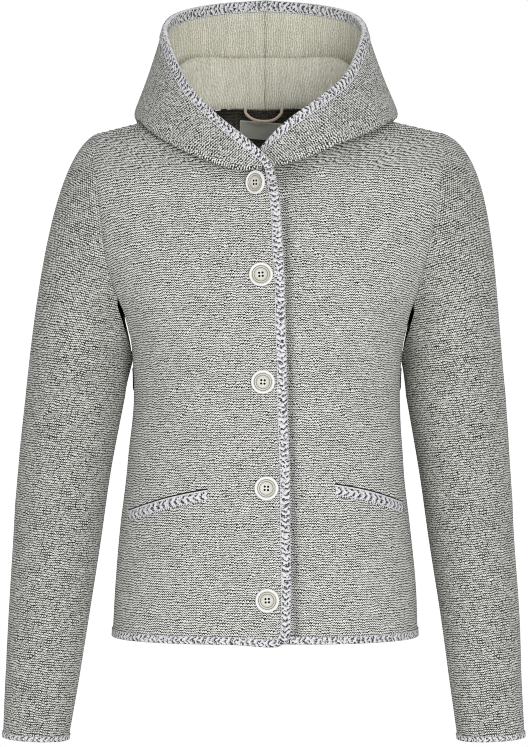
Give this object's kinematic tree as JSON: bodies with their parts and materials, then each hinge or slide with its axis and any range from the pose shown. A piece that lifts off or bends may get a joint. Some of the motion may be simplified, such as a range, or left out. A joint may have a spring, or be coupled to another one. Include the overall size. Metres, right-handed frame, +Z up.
{
  "type": "trachten cardigan",
  "caption": "Hooded, hip-length women's cardigan in heather-grey milled knit, buttoned down the front, bound with knitted braid, filled out as worn.",
  "frame": {"origin": "middle of the neck opening, level with the high shoulder points, where the garment hangs on the wearer's shoulders", "axes": "+X towards the wearer's left, +Y towards the wearer's back, +Z up"},
  "size_m": [0.5506, 0.2637, 0.7931],
  "materials": {
    "grey_knit": "milled knit, light-grey heather, matt",
    "cream_knit": "fine cream knit lining, matt",
    "braid": "two-colour knitted braid, white and blue-grey",
    "button": "horn-white, satin",
    "loop_cord": "round woven cord, cream",
    "label": "woven tape, light grey, bare"
  },
  "bodies": {
    "root": {"front_right": "grey_knit", "front_left": "grey_knit", "back": "grey_knit", "sleeve_right": "grey_knit", "sleeve_left": "grey_knit", "hood_outer_right": "grey_knit", "hood_outer_left": "grey_knit", "hood_lining_right": "cream_knit", "hood_lining_left": "cream_knit", "braid_body": "braid", "braid_hood": "braid", "braid_cuff_right": "braid", "braid_cuff_left": "braid", "braid_pocket_right": "braid", "braid_pocket_left": "braid", "pocket_patch_right": "grey_knit", "pocket_patch_left": "grey_knit", "button_1": "button", "button_2": "button", "button_3": "button", "button_4": "button", "button_5": "button", "hanging_loop": "loop_cord", "neck_label": "label"}
  },
  "joints": []
}
